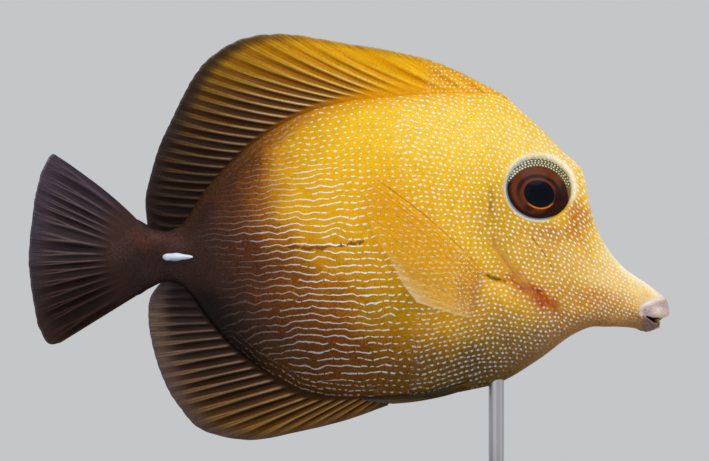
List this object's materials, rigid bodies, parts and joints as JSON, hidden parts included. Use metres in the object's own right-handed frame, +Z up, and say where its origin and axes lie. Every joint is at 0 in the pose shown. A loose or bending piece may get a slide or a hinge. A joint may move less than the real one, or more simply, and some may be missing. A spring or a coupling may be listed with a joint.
{
  "type": "scopas tang display model",
  "caption": "Still, life-size model of a scopas tang, a deep flat disc-shaped reef fish with tall fins and a long snout, on a plain stand.",
  "frame": {"origin": "on the floor, under the middle of the fish's length", "axes": "+X towards the snout, +Z up, +Y towards the fish's left side"},
  "size_m": [0.141, 0.062, 0.1095],
  "materials": {
    "head_skin": "smooth moist fish skin, yellow with close pale dots",
    "body_skin": "smooth moist fish skin, yellow to dark brown with fine wavy pale lines",
    "tail_stalk_skin": "smooth moist fish skin, dark brown",
    "upper_lip": "soft satin skin, pale pinkish grey",
    "lower_lip": "soft satin skin, grey brown",
    "dorsal_fin": "ribbed fin membrane, amber to dark brown",
    "anal_fin": "ribbed fin membrane, dark brown with paler rays",
    "caudal_fin": "pleated fin membrane, greyish dark brown",
    "pectoral_fin": "thin clear yellow fin membrane with fine rays",
    "pelvic_fin": "folded fin membrane, olive grey",
    "eye": "polished clear cornea over a dark red-brown iris and a blue-black pupil",
    "tail_spine": "polished bluish white bone",
    "stand_wood": "dark stained satin hardwood",
    "stand_steel": "brushed steel"
  },
  "bodies": {
    "root": {"head": "head_skin", "torso": "body_skin", "tail_stalk": "tail_stalk_skin", "lip_upper": "upper_lip", "lip_lower": "lower_lip", "dorsal_fin": "dorsal_fin", "anal_fin": "anal_fin", "caudal_fin": "caudal_fin", "pectoral_fin_right": "pectoral_fin", "pectoral_fin_left": "pectoral_fin", "pelvic_fin_right": "pelvic_fin", "pelvic_fin_left": "pelvic_fin", "eye_right": "eye", "eye_left": "eye", "tail_spine_right": "tail_spine", "tail_spine_left": "tail_spine", "stand_base": "stand_wood", "stand_rod": "stand_steel"}
  },
  "joints": []
}
